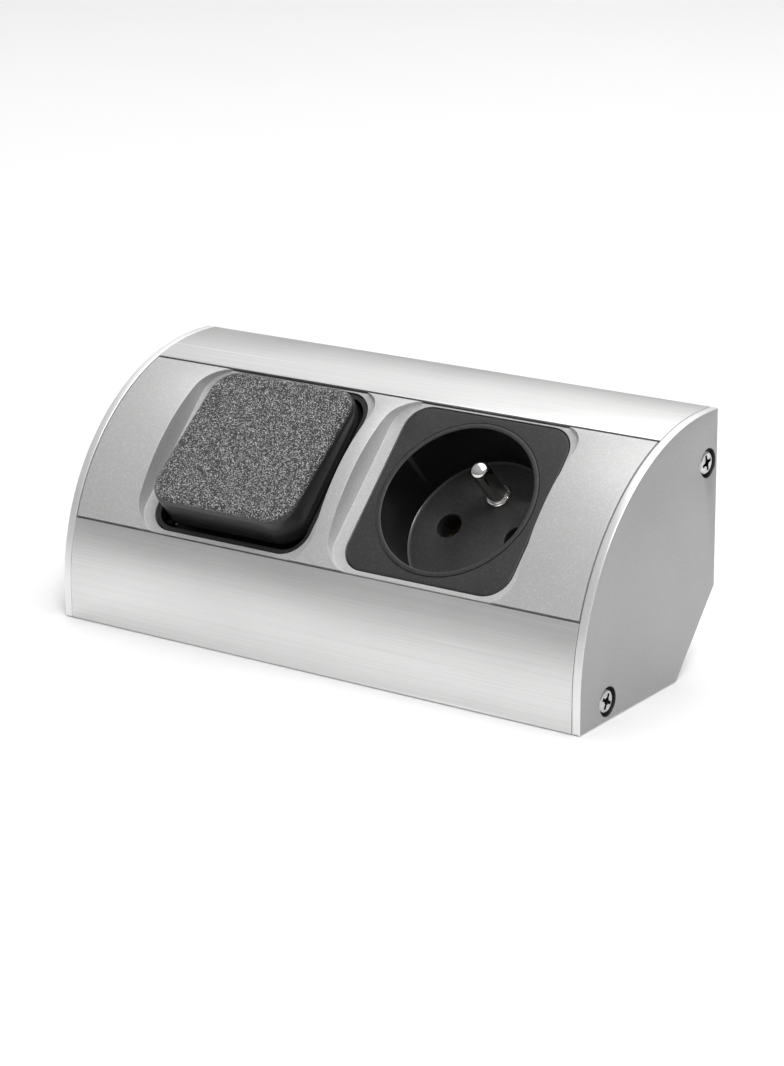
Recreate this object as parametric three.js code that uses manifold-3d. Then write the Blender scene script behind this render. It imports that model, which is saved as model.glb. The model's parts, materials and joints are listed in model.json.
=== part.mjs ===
// Corner power unit for furniture: an aluminium extrusion with a quarter-round front, a moulded panel
// that slides into it, a rocker switch and a pin-earth socket set in the panel, and two end caps.
// Millimetres. +X runs along the extrusion, the front faces -Y, and +Z is up. The origin is the middle
// of the base.
import * as THREE from "three";
import { mergeVertices } from "three/addons/utils/BufferGeometryUtils.js";
import Module from "manifold-3d";

const wasm = await Module();
wasm.setup();

// ---------------------------------------------------------------- driving dimensions

const length = 150; // over both end caps
const depth = 59.5; // front to back
const height = 62;
const arcRadius = 54.5; // quarter-round front
const topFlat = 5; // flat strip between the round front and the back face
const chamferRun = 17; // corner cut between base and back, along the base
const chamferRise = 19; // the same, up the back
const wall = 2; // extrusion wall
const capThickness = 2.1;
const capGap = 0.1; // between an end cap and the extrusion
const arcSteps = 20;

const backY = depth / 2;
const frontY = -depth / 2;
const arcY = backY - topFlat; // centre of the round front
const arcZ = height - arcRadius;
const chamferY = backY - chamferRun;

const seamAngle = THREE.MathUtils.degToRad(25.8); // half of the panel's arc, either side of 45 degrees
const slope = Math.PI / 4; // tilt of the panel and of both modules
const chordHeight = arcRadius * Math.cos(seamAngle); // from the arc's centre to the panel's chord
const panelHalf = arcRadius * Math.sin(seamAngle); // half of the chord
const seam = 0.4; // open joint along the panel's long edges
const bodyEdge = panelHalf + seam / 2;
const panelEdge = panelHalf - seam / 2;
const panelSkin = 2;

const moduleX = 28.5; // each module's centre, left and right of the middle
const moduleShift = 0.35; // modules sit this far up the slope from the chord's middle
const pocketWidth = 52.8;
const pocketRadius = 7.9;
const landLevel = -0.6; // pocket floor, under the chord
const landThickness = 1.8;
const insertWidth = 45.6; // module face, along X
const insertHeight = 44.9; // module face, up the slope
const insertRadius = 6.3;
const insertGap = 0.25;

const screwHeadRadius = 3;
const counterboreRadius = 3.5;
const counterboreDepth = 1.2;
const capScrewBore = 2.1;
const portBore = 1.95; // screw port in the extrusion
const portRadius = 3.4;
const upperPort = [backY - 4.2, 49.7];
const lowerPort = [backY - 47.6, 4.5];

const grommetX = -62;
const grommetBore = 5.5;

const recessRadius = 19.3;
const recessDepth = 15.2;
const recessFloor = 2;
const pinPitch = 9.5; // each contact hole from the socket's centre
const earthPinUp = 10; // the earth pin, up the slope from the centre
const earthPinLength = 13.2;

const rockerTilt = THREE.MathUtils.degToRad(6.3); // top edge pressed in
const rockerPivot = -7; // under the chord
const rockerWidth = 42.8;
const rockerHeight = 40.8;
const rockerTop = 6; // face above the chord when level
const rockerSkirt = -3.5; // lower edge when level
const bridgeTilt = THREE.MathUtils.degToRad(5);
const bridgeLevel = -18.4;

// ---------------------------------------------------------------- materials

const finishes = {
  anodised: { color: 0xd4d6d8, metalness: 0.9, roughness: 0.35 },
  panelGrey: { color: 0xb9bbbd, metalness: 0.3, roughness: 0.5 },
  capGrey: { color: 0xa9abad, metalness: 0.8, roughness: 0.4 },
  blackPlastic: { color: 0x2a2a2b, metalness: 0, roughness: 0.45 },
  nickel: { color: 0xdcdcd8, metalness: 1, roughness: 0.15 },
  steel: { color: 0xa7a9ab, metalness: 1, roughness: 0.3 },
  brass: { color: 0xc09a4a, metalness: 1, roughness: 0.3 },
  rubber: { color: 0x1c1c1c, metalness: 0, roughness: 0.85 },
  paleNylon: { color: 0xe8e4d8, metalness: 0, roughness: 0.5 },
  brownWire: { color: 0x5c3317, metalness: 0, roughness: 0.5 },
  blueWire: { color: 0x2456a6, metalness: 0, roughness: 0.5 },
  greenWire: { color: 0x6f9a2c, metalness: 0, roughness: 0.5 },
};

// ---------------------------------------------------------------- solids

// A closed geometry as a manifold solid.
function solid(geometry) {
  const bare = geometry.index ? geometry.toNonIndexed() : geometry.clone();
  bare.deleteAttribute("normal");
  bare.deleteAttribute("uv");
  const merged = mergeVertices(bare, 1e-4);
  const mesh = new wasm.Mesh({
    numProp: 3,
    vertProperties: merged.attributes.position.array,
    triVerts: new Uint32Array(merged.index.array),
  });
  return new wasm.Manifold(mesh);
}

// A manifold solid as a geometry that three.js can draw.
function geometryOf(made) {
  const mesh = made.getMesh();
  const geometry = new THREE.BufferGeometry();
  geometry.setAttribute("position", new THREE.BufferAttribute(mesh.vertProperties, 3));
  geometry.setIndex(new THREE.BufferAttribute(mesh.triVerts, 1));
  geometry.computeVertexNormals();
  return geometry;
}

function join(...solids) {
  return solids.reduce((all, next) => all.add(next));
}

function cut(from, ...solids) {
  return solids.reduce((left, next) => left.subtract(next), from);
}

// A box between two corners.
function block(low, high) {
  const size = high.map((value, i) => value - low[i]);
  const geometry = new THREE.BoxGeometry(...size);
  geometry.translate(...low.map((value, i) => value + size[i] / 2));
  return solid(geometry);
}

// A shape drawn in XY, extruded from low to high along Z.
function prism(shape, low, high, curveSegments = 4) {
  const geometry = new THREE.ExtrudeGeometry(shape, {
    depth: high - low,
    bevelEnabled: false,
    curveSegments,
  });
  geometry.translate(0, 0, low);
  return solid(geometry);
}

// A cross-section drawn in (y, z), extruded from low to high along X.
function section(shape, low, high, curveSegments = arcSteps) {
  const geometry = new THREE.ExtrudeGeometry(shape, {
    depth: high - low,
    bevelEnabled: false,
    curveSegments,
  });
  const alongX = new THREE.Matrix4().makeBasis(
    new THREE.Vector3(0, 1, 0),
    new THREE.Vector3(0, 0, 1),
    new THREE.Vector3(1, 0, 0),
  );
  geometry.translate(0, 0, low);
  geometry.applyMatrix4(alongX);
  return solid(geometry);
}

// A cylinder along Z at (x, y), from low to high.
function rod(radius, x, y, low, high, sides = 16) {
  const geometry = new THREE.CylinderGeometry(radius, radius, high - low, sides);
  geometry.rotateX(Math.PI / 2);
  geometry.translate(x, y, (low + high) / 2);
  return solid(geometry);
}

// A cylinder along X at (y, z), from low to high.
function crossRod(radius, y, z, low, high, sides = 16) {
  const geometry = new THREE.CylinderGeometry(radius, radius, high - low, sides);
  geometry.rotateZ(Math.PI / 2);
  geometry.translate((low + high) / 2, y, z);
  return solid(geometry);
}

// A turned solid along Z: its profile is a list of [radius, z], upwards on the outside.
function turned(profile, sides = 16) {
  const points = profile.map(([radius, z]) => new THREE.Vector2(radius, z));
  const geometry = new THREE.LatheGeometry(points, sides);
  geometry.rotateX(Math.PI / 2);
  return solid(geometry);
}

function outline(points) {
  return new THREE.Shape(points.map(([a, b]) => new THREE.Vector2(a, b)));
}

// A rectangle with round corners, centred on (x, y).
function roundedRectangle(width, tall, radius, x = 0, y = 0) {
  const right = x + width / 2;
  const left = x - width / 2;
  const top = y + tall / 2;
  const bottom = y - tall / 2;
  const shape = new THREE.Shape();
  shape.moveTo(left + radius, bottom);
  shape.lineTo(right - radius, bottom);
  shape.absarc(right - radius, bottom + radius, radius, -Math.PI / 2, 0, false);
  shape.lineTo(right, top - radius);
  shape.absarc(right - radius, top - radius, radius, 0, Math.PI / 2, false);
  shape.lineTo(left + radius, top);
  shape.absarc(left + radius, top - radius, radius, Math.PI / 2, Math.PI, false);
  shape.lineTo(left, bottom + radius);
  shape.absarc(left + radius, bottom + radius, radius, Math.PI, Math.PI * 1.5, false);
  return shape;
}

// ---------------------------------------------------------------- the frame of the slope

// The panel's own axes: u along X, v up the slope, h out of it, from the middle of the chord.
function slopePoint(v, h) {
  const y = arcY - (chordHeight + h) * Math.cos(slope) + v * Math.sin(slope);
  const z = arcZ + (chordHeight + h) * Math.sin(slope) + v * Math.cos(slope);
  return [y, z];
}

function slopeGroup(x, v = 0) {
  const group = new THREE.Group();
  const [y, z] = slopePoint(v, 0);
  group.position.set(x, y, z);
  group.rotation.x = slope;
  return group;
}

const unit = new THREE.Group();

function place(group, name, made, finish) {
  const mesh = new THREE.Mesh(geometryOf(made), new THREE.MeshStandardMaterial(finishes[finish]));
  mesh.name = name;
  group.add(mesh);
  return mesh;
}

// ---------------------------------------------------------------- extrusion and end caps

// The unit's cross-section in (y, z), shrunk by inset on every side.
function profile(inset) {
  const along = new THREE.Vector2(chamferRun, chamferRise).normalize();
  const startY = chamferY - inset * along.y;
  const startZ = inset * along.x;
  const baseY = startY + ((inset - startZ) * chamferRun) / chamferRise;
  const riseZ = startZ + ((backY - inset - startY) * chamferRise) / chamferRun;
  const shape = new THREE.Shape();
  shape.moveTo(frontY + inset, inset);
  shape.lineTo(baseY, inset);
  shape.lineTo(backY - inset, riseZ);
  shape.lineTo(backY - inset, height - inset);
  shape.lineTo(arcY, height - inset);
  shape.absarc(arcY, arcZ, arcRadius - inset, Math.PI / 2, Math.PI, false);
  return shape;
}

// The hook behind each long edge of the extrusion, and the channel in it that holds the panel.
const channelTop = -2.6;
const channelBottom = -4.1;
const channelMouth = bodyEdge - 2;
const channelEnd = bodyEdge + 2.3;
const hookEnd = bodyEdge + 3.7;
const hookBottom = -5.3;

function slopeOutline(points) {
  return outline(points.map(([v, h]) => slopePoint(v, h)));
}

function hook(side, low, high) {
  const points = [
    [bodyEdge, hookBottom],
    [hookEnd, hookBottom],
    [hookEnd, -3],
    [bodyEdge, -1.2],
  ];
  const drawn = points.map(([v, h]) => [side * v, h]);
  return section(slopeOutline(side > 0 ? drawn : drawn.reverse()), low, high);
}

function slopeBar(lowV, highV, lowH, highH, low, high) {
  const corners = [
    [lowV, lowH],
    [highV, lowH],
    [highV, highH],
    [lowV, highH],
  ];
  return section(slopeOutline(corners), low, high);
}

function bodyExtrusion() {
  const end = length / 2 - capThickness - capGap;
  const past = end + 1;
  const opening = slopeBar(-bodyEdge, bodyEdge, -9, 12, -past, past);
  const shell = cut(section(profile(0), -end, end), section(profile(wall), -past, past), opening);
  const channels = [
    slopeBar(channelMouth, channelEnd, channelBottom, channelTop, -past, past),
    slopeBar(-channelEnd, -channelMouth, channelBottom, channelTop, -past, past),
  ];
  const ports = [upperPort, lowerPort].map(([y, z]) => crossRod(portRadius, y, z, -end, end));
  const bores = [upperPort, lowerPort].map(([y, z]) => crossRod(portBore, y, z, -past, past));
  const slots = [
    block([-past, upperPort[0] - 5, upperPort[1] - 0.8], [past, upperPort[0], upperPort[1] + 0.8]),
    block([-past, lowerPort[0] - 0.8, lowerPort[1]], [past, lowerPort[0] + 0.8, lowerPort[1] + 5]),
  ];
  const ribbed = join(shell, hook(1, -end, end), hook(-1, -end, end), ...ports);
  return cut(ribbed, ...channels, ...bores, ...slots, inletHole(), ...fixingHoles());
}

// The frame of the cable inlet: the middle of the corner cut, with Z pointing out of it.
function atInlet(geometry) {
  const outward = new THREE.Vector3(0, chamferRise, -chamferRun).normalize();
  geometry.applyQuaternion(
    new THREE.Quaternion().setFromUnitVectors(new THREE.Vector3(0, 0, 1), outward),
  );
  geometry.translate(grommetX, backY - chamferRun / 2, chamferRise / 2);
  return geometry;
}

function inletHole() {
  const geometry = new THREE.CylinderGeometry(grommetBore + 1.6, grommetBore + 1.6, 9, 24);
  geometry.rotateX(Math.PI / 2);
  return solid(atInlet(geometry));
}

// Two plain screw holes through the back wall.
function fixingHoles() {
  return [-45, 45].map((x) => {
    const geometry = new THREE.CylinderGeometry(2.25, 2.25, 8, 16);
    geometry.translate(x, backY, 38);
    return solid(geometry);
  });
}

function grommet() {
  const inner = -wall - 0.9;
  const points = [
    [grommetBore, inner],
    [grommetBore + 3, inner],
    [grommetBore + 3, -wall - 0.1],
    [grommetBore + 1.4, -wall - 0.1],
    [grommetBore + 1.4, 0.1],
    [grommetBore + 3, 0.1],
    [grommetBore + 3, 0.9],
    [grommetBore, 0.9],
    [grommetBore, inner],
  ];
  const geometry = new THREE.LatheGeometry(
    points.map(([radius, z]) => new THREE.Vector2(radius, z)),
    24,
  );
  geometry.rotateX(Math.PI / 2);
  return solid(atInlet(geometry));
}

function endCap(side) {
  const inner = length / 2 - capThickness;
  const plate = section(profile(0), inner, length / 2);
  const holes = [upperPort, lowerPort].flatMap(([y, z]) => [
    crossRod(capScrewBore, y, z, inner - 1, length / 2 + 1),
    crossRod(counterboreRadius, y, z, length / 2 - counterboreDepth, length / 2 + 1),
  ]);
  const cap = cut(plate, ...holes);
  return side > 0 ? cap : cap.mirror([1, 0, 0]);
}

// A pan-head screw with a cross recess, along Z, its head's underside at zero.
function capScrew() {
  const headHeight = counterboreDepth - 0.3;
  const shank = 1.7;
  const tip = -10;
  const body = turned([
    [0, tip],
    [0.7, tip],
    [shank, tip + 1.4],
    [shank, 0],
    [screwHeadRadius, 0],
    [screwHeadRadius, headHeight * 0.55],
    [screwHeadRadius * 0.75, headHeight * 0.9],
    [0, headHeight],
  ]);
  const arm = 1.75;
  const slot = 0.35;
  return cut(
    body,
    block([-arm, -slot, headHeight - 0.7], [arm, slot, headHeight + 1]),
    block([-slot, -arm, headHeight - 0.7], [slot, arm, headHeight + 1]),
  );
}

function fitCapScrews() {
  const places = { upper: upperPort, lower: lowerPort };
  for (const [side, sideName] of [[-1, "left"], [1, "right"]]) {
    for (const [level, [y, z]] of Object.entries(places)) {
      const group = new THREE.Group();
      group.position.set(side * (length / 2 - counterboreDepth + 0.02), y, z);
      group.rotation.set(0, (side * Math.PI) / 2, 0);
      place(group, `cap_screw_${sideName}_${level}`, capScrew(), "nickel");
      unit.add(group);
    }
  }
}

// ---------------------------------------------------------------- panel

function arcShape(radius, half, floor) {
  const reach = Math.asin(half / radius);
  const shape = new THREE.Shape();
  shape.moveTo(-half, floor);
  shape.lineTo(half, floor);
  shape.absarc(0, -chordHeight, radius, Math.PI / 2 - reach, Math.PI / 2 + reach, false);
  return shape;
}

function midPanel() {
  const end = length / 2 - capThickness - seam;
  const tubFloor = landLevel - landThickness;
  const tongueLow = channelBottom + 0.2;
  const tongueHigh = channelTop - 0.2;
  const full = section(arcShape(arcRadius, panelEdge, -6), -end, end, 16);
  const hollow = section(arcShape(arcRadius - panelSkin, panelEdge + 1, -20), -end - 1, end + 1, 10);
  const ribs = [-1, 1].map((side) =>
    block(
      [-end, Math.min(side * (panelEdge - 1.6), side * panelEdge), tongueLow],
      [end, Math.max(side * (panelEdge - 1.6), side * panelEdge), 3],
    ).intersect(full),
  );
  const tongues = [-1, 1].map((side) =>
    block(
      [-end, Math.min(side * (panelEdge - 1.6), side * (channelEnd - 0.4)), tongueLow],
      [end, Math.max(side * (panelEdge - 1.6), side * (channelEnd - 0.4)), tongueHigh],
    ),
  );
  const tubs = [-moduleX, moduleX].map((x) =>
    prism(roundedRectangle(pocketWidth + 3.2, 2 * panelEdge, 4, x), tubFloor, 8, 2).intersect(full),
  );
  const pockets = [-moduleX, moduleX].map((x) =>
    prism(roundedRectangle(pocketWidth, 2 * panelHalf, pocketRadius, x), landLevel, 12, 6),
  );
  const holes = [-moduleX, moduleX].map((x) =>
    prism(
      roundedRectangle(
        insertWidth + 2 * insertGap,
        insertHeight + 2 * insertGap,
        insertRadius + insertGap,
        x,
        moduleShift,
      ),
      -12,
      12,
      5,
    ),
  );
  return cut(join(cut(full, hollow), ...ribs, ...tongues, ...tubs), ...pockets, ...holes);
}

// ---------------------------------------------------------------- socket

// A terminal's clamp screw along Z, its tip at zero and its slotted head below.
function terminalScrew(shank = 1.3, long = 4.4) {
  const body = turned([
    [0, -long - 1.2],
    [2.1, -long - 1.2],
    [2.1, -long],
    [shank, -long],
    [shank, 0],
    [0, 0],
  ], 12);
  return cut(body, block([-3, -0.3, -long - 2], [3, 0.3, -long - 0.6]));
}

const housingTop = landLevel - recessDepth - recessFloor - 0.3;
const housingBottom = housingTop - 12;
const cellRoof = housingTop - 4.6; // the contacts' cells end under this
const contactTop = cellRoof - 0.3;
const contactBottom = housingBottom + 1;
const contactHole = 3.1;
const clampLevel = housingBottom + 4.2;
const clampTopLevel = contactTop - 0.1;
const clampWireHole = 1.4;
const clampScrewHole = 1.5;
const terminalU = 15.8; // live and neutral clamps, each side of the centre
const earthTerminalV = 5.6;

function socketFront() {
  const face = roundedRectangle(insertWidth, insertHeight, insertRadius);
  const plate = prism(face, landLevel - 2.4, landLevel);
  const flange = prism(roundedRectangle(50, 42, 4), landLevel - 4, landLevel - landThickness - 0.3);
  const cup = rod(recessRadius + 1.7, 0, 0, landLevel - recessDepth - recessFloor, landLevel - 1, 32);
  const recess = rod(recessRadius, 0, 0, landLevel - recessDepth, 5, 40);
  const holes = [-pinPitch, pinPitch].map((x) => rod(contactHole, x, 0, -30, 0));
  const pinHole = rod(2.7, 0, earthPinUp, -30, 0);
  return cut(join(plate, flange, cup), recess, ...holes, pinHole);
}

function socketHousing() {
  const body = prism(roundedRectangle(41, 36, 3), housingBottom, housingTop);
  const cells = [
    block([5.8, -5, housingBottom - 1], [18.8, 5, cellRoof]),
    block([-18.8, -5, housingBottom - 1], [-5.8, 5, cellRoof]),
    block([-4.4, 3, housingBottom - 1], [4.4, 15.5, cellRoof]),
  ];
  const channels = [-terminalU, 0, terminalU].map((u) =>
    block([u - 1.8, -19, housingBottom - 1], [u + 1.8, u === 0 ? 4 : -4, clampLevel + 3]),
  );
  const holes = [-pinPitch, pinPitch].map((x) => rod(contactHole, x, 0, housingBottom, 0));
  return cut(body, ...cells, ...channels, ...holes, rod(2.8, 0, earthPinUp, housingBottom, 0));
}

// A slotted sleeve with its clamp block, for the hole on the right.
function sleeveContact() {
  const sleeve = rod(3.2, pinPitch, 0, contactBottom, contactTop);
  const clamp = block([13.2, -3.6, contactBottom], [18.4, 3.6, clampTopLevel]);
  const strip = block([11.5, -2.4, contactBottom], [14, 2.4, clampTopLevel]);
  const bore = rod(2.45, pinPitch, 0, contactBottom - 1, contactTop + 1);
  const slot = block([pinPitch - 5, -0.4, contactBottom + 2], [pinPitch, 0.4, contactTop + 1]);
  const screwHole = rod(clampScrewHole, terminalU, 0, contactBottom - 1, clampLevel + 1);
  const wireHole = new THREE.CylinderGeometry(clampWireHole, clampWireHole, 9, 16);
  wireHole.translate(terminalU, 0, clampLevel + 1);
  return cut(join(sleeve, clamp, strip), bore, slot, screwHole, solid(wireHole));
}

function earthPin() {
  const floor = landLevel - recessDepth;
  const tip = floor + earthPinLength;
  const tail = floor - 11;
  const radius = 2.4;
  const dome = [0.25, 0.5, 0.75, 1].map((share) => {
    const angle = (share * Math.PI) / 2;
    return [radius * Math.cos(angle), tip - 1.6 + 1.6 * Math.sin(angle)];
  });
  dome[3][0] = 0;
  const pin = turned([
    [0, tail],
    [radius, tail],
    [radius, floor + 0.05],
    [3.3, floor + 0.05],
    [3.3, floor + 0.6],
    [radius, floor + 0.6],
    [radius, tip - 1.6],
    ...dome,
  ]);
  return pin.translate([0, earthPinUp, 0]);
}

function earthStrap() {
  const strap = block([-3.9, 3.5, contactBottom], [3.9, 14.8, clampTopLevel]);
  const pinHole = rod(2.65, 0, earthPinUp, contactBottom + 2, contactTop + 2);
  const screwHole = rod(clampScrewHole, 0, earthTerminalV, contactBottom - 1, clampLevel + 1);
  const wireHole = new THREE.CylinderGeometry(clampWireHole, clampWireHole, 6, 16);
  wireHole.translate(0, earthTerminalV, clampLevel + 1);
  return cut(strap, pinHole, screwHole, solid(wireHole));
}

function fitSocket() {
  const group = slopeGroup(moduleX, moduleShift);
  place(group, "socket_front", socketFront(), "blackPlastic");
  place(group, "socket_rear_housing", socketHousing(), "blackPlastic");
  place(group, "earth_pin", earthPin(), "nickel");
  place(group, "earth_strap", earthStrap(), "brass");
  const contact = sleeveContact();
  place(group, "contact_live", contact.mirror([1, 0, 0]), "brass");
  place(group, "contact_neutral", contact, "brass");
  const screws = { live: [-terminalU, 0], neutral: [terminalU, 0], earth: [0, earthTerminalV] };
  for (const [pole, [x, y]] of Object.entries(screws)) {
    const screw = terminalScrew().translate([x, y, clampLevel - 0.9]);
    place(group, `socket_terminal_screw_${pole}`, screw, "steel");
  }
  unit.add(group);
}

// ---------------------------------------------------------------- switch

const deckTop = -6.2;
const deckBottom = -8.1;
const bearingTop = -4.7; // the two blocks that carry the pivot pin
const bossTop = -4.5; // the small post in the lower left corner
const bossPlace = [-20.3, -18.6];
const chamberFloor = -24.2;
const pivotRadius = 1.25;
const clampTop = chamberFloor - 2.2; // clamp blocks behind the chamber
const clampBottom = clampTop - 7.4;
const switchClampWire = clampBottom + 4.4; // level of the wire holes in them

function switchBase() {
  const outer = roundedRectangle(insertWidth - 0.2, insertHeight - 0.2, insertRadius);
  const tub = prism(outer, deckBottom, landLevel - 0.4);
  const inner = roundedRectangle(insertWidth - 2.2, insertHeight - 2.2, insertRadius - 1);
  const flange = prism(roundedRectangle(50, 42, 4), landLevel - 4, landLevel - landThickness - 0.3);
  const chamber = block([-16, -14, chamberFloor - 1.8], [16, 14, deckBottom + 1]);
  const well = block([-12.2, -7, chamberFloor], [12.2, 7, 0]);
  const room = block([-14.4, -12.4, chamberFloor], [14.4, 12.4, deckBottom - 0.6]);
  const corner = block([-21.6, -20.8, deckBottom - 1], [-19.4, -15.5, deckTop + 1]);
  const notch = corner.intersect(prism(inner, deckBottom - 1, deckTop + 1));
  const legSlots = [0, -8].map((v) =>
    block([-2.8, v - 1.4, chamberFloor - 4], [2.8, v + 1.4, chamberFloor + 1]),
  );
  const bearings = [-1, 1].map((side) =>
    block([15.1 * side - 2.9, -3.2, deckBottom], [15.1 * side + 2.9, 3.2, bearingTop]),
  );
  const axle = crossRod(pivotRadius + 0.12, 0, rockerPivot, -17, 17);
  const [bossU, bossV] = bossPlace;
  const boss = rod(0.6, bossU, bossV, deckBottom, bossTop, 12);
  const bossRoot = block([bossU, bossV - 0.4, deckBottom], [bossU + 1.4, bossV + 0.4, deckBottom + 0.8]);
  const base = cut(join(tub, flange), prism(inner, deckTop, 3));
  const open = cut(join(base, chamber, ...bearings), well, room, notch, ...legSlots, axle);
  return join(open, bossRoot, boss);
}

// The rocker cap about its pivot, level: face up, open below, with a stem that holds the plunger.
function rockerCap() {
  const bevel = 2.4;
  const top = rockerTop - rockerPivot;
  const skirt = rockerSkirt - rockerPivot;
  const edge = new THREE.ExtrudeGeometry(
    roundedRectangle(rockerWidth - 2 * bevel, rockerHeight - 2 * bevel, 4.6),
    {
      depth: top - skirt - bevel,
      bevelEnabled: true,
      bevelThickness: bevel,
      bevelSize: bevel,
      bevelSegments: 3,
      curveSegments: 4,
    },
  );
  edge.translate(0, 0, skirt);
  const below = block([-40, -40, skirt - 10], [40, 40, skirt]);
  const cap = cut(solid(edge), below);
  const hollow = prism(roundedRectangle(rockerWidth - 4, rockerHeight - 4, 5), skirt - 1, top - 3, 5);
  const cheek = block([-11.6, -3.4, -3.2], [11.6, 3.4, top - 2]);
  const stem = rod(3.3, 0, 0, -7.2, 0);
  const shell = join(cut(cap, hollow), cheek, stem);
  return cut(shell, crossRod(pivotRadius + 0.08, 0, 0, -14, 14), rod(2.25, 0, 0, -8, -1.9));
}

function plunger() {
  return turned([
    [0, -10.85],
    [0.9, -10.6],
    [1.5, -9.9],
    [1.95, -8.8],
    [1.95, -5.4],
    [0, -5.4],
  ], 16);
}

// A coil spring along Z from low to high, with open ends.
class Helix extends THREE.Curve {
  constructor(radius, low, high, turns) {
    super();
    Object.assign(this, { radius, low, high, turns });
  }
  getPoint(t, target = new THREE.Vector3()) {
    const angle = 2 * Math.PI * this.turns * t;
    const z = this.low + (this.high - this.low) * t;
    return target.set(this.radius * Math.cos(angle), this.radius * Math.sin(angle), z);
  }
}

function spring() {
  const wire = 0.22;
  const round = new THREE.Shape();
  round.absarc(0, 0, wire, 0, 2 * Math.PI, false);
  const geometry = new THREE.ExtrudeGeometry(round, {
    steps: 30,
    curveSegments: 2,
    extrudePath: new Helix(1.6, -5.1, -2.2, 3),
  });
  return solid(geometry);
}

function contactBridge() {
  const strip = block([-2.5, -9, -0.4], [2.5, 9, 0.4]);
  const pads = [-8, 8].map((v) => rod(1.4, 0, v, -0.7, 0.4, 12));
  return join(strip, ...pads);
}

// A fixed contact's leg through the chamber floor and its clamp block behind, at v = 0.
function fixedContact(legTop) {
  const leg = block([-2.4, -1, clampTop - 1], [2.4, 1, legTop]);
  const clamp = block([-3.4, -3.4, clampBottom], [3.4, 3.4, clampTop]);
  const screwHole = rod(clampScrewHole, 0, 0, clampBottom - 1, clampBottom + 4);
  return cut(join(leg, clamp), screwHole, crossRod(1.6, 0, switchClampWire, -5, 5));
}

function fitSwitch() {
  const group = slopeGroup(-moduleX, moduleShift);
  place(group, "switch_base", switchBase(), "blackPlastic");
  place(group, "common_contact", fixedContact(bridgeLevel - 0.65), "brass");
  const output = fixedContact(bridgeLevel - 1.9).translate([0, -8, 0]);
  place(group, "output_contact", output, "brass");
  const screws = { feed: 0, output: -8 };
  for (const [pole, v] of Object.entries(screws)) {
    const screw = terminalScrew(1.3, 2.6).translate([0, v, clampBottom + 2.4]);
    place(group, `switch_terminal_screw_${pole}`, screw, "steel");
  }
  const rocking = new THREE.Group();
  rocking.position.set(0, 0, rockerPivot);
  rocking.rotation.x = -rockerTilt;
  place(rocking, "rocker", rockerCap(), "blackPlastic");
  place(rocking, "rocker_pivot_pin", crossRod(pivotRadius, 0, 0, -15.8, 15.8, 16), "steel");
  place(rocking, "switch_plunger", plunger(), "paleNylon");
  place(rocking, "plunger_spring", spring(), "steel");
  group.add(rocking);
  const tipping = new THREE.Group();
  tipping.position.set(0, 0, bridgeLevel);
  tipping.rotation.x = bridgeTilt;
  place(tipping, "contact_bridge", contactBridge(), "brass");
  group.add(tipping);
  unit.add(group);
}

// ---------------------------------------------------------------- terminal block and wires

const poles = { live: -68, neutral: -62, earth: -56 };
const blockFront = -8;
const blockBack = 8;
const blockBase = wall + 0.3;
const blockTop = 13.2;
const blockBore = 7;

function terminalBlock() {
  const body = block([grommetX - 9, blockFront, blockBase], [grommetX + 9, blockBack, blockTop]);
  const cuts = Object.values(poles).flatMap((x) => {
    const bore = new THREE.CylinderGeometry(2.2, 2.2, 20, 12);
    bore.translate(x, 0, blockBore);
    return [solid(bore), ...[-4.5, 4.5].map((y) => rod(2.3, x, y, blockBore, 20, 12))];
  });
  const grooves = [-3, 3].map((x) =>
    block([grommetX + x - 0.3, -9, blockTop - 3], [grommetX + x + 0.3, 9, blockTop + 1]),
  );
  return cut(body, ...cuts, ...grooves);
}

function fitTerminalBlock() {
  place(unit, "terminal_block", terminalBlock(), "paleNylon");
  for (const [pole, x] of Object.entries(poles)) {
    for (const [y, side] of [[-4.5, "unit"], [4.5, "supply"]]) {
      const screw = terminalScrew(1.3, 2.4).rotate([180, 0, 0]).translate([x, y, blockBore + 2.1]);
      place(unit, `block_screw_${pole}_${side}`, screw, "steel");
    }
  }
}

// A point in a module's own axes, in the unit's frame.
function onModule(x, u, v, h) {
  const [y, z] = slopePoint(v + moduleShift, h);
  return [x + u, y, z];
}

const wireRadius = 1.1;

function wire(points) {
  const round = new THREE.Shape();
  round.absarc(0, 0, wireRadius, 0, 2 * Math.PI, false);
  const path = new THREE.CatmullRomCurve3(
    points.map((point) => new THREE.Vector3(...point)),
    false,
    "centripetal",
  );
  const steps = Math.max(10, Math.round(path.getLength() / 7));
  return solid(new THREE.ExtrudeGeometry(round, { steps, curveSegments: 4, extrudePath: path }));
}

const socketClampWire = clampLevel + 1;

// The way into one of the socket's clamps: up the channel in its housing, at u.
function intoSocket(u, end) {
  return [
    onModule(moduleX, u, -24, socketClampWire - 1),
    onModule(moduleX, u, -18, socketClampWire),
    onModule(moduleX, u, -10, socketClampWire),
    onModule(moduleX, u, end, socketClampWire),
  ];
}

function outOfBlock(pole) {
  return [
    [poles[pole], blockFront + 2.2, blockBore],
    [poles[pole], blockFront - 0.4, blockBore],
  ];
}

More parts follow.
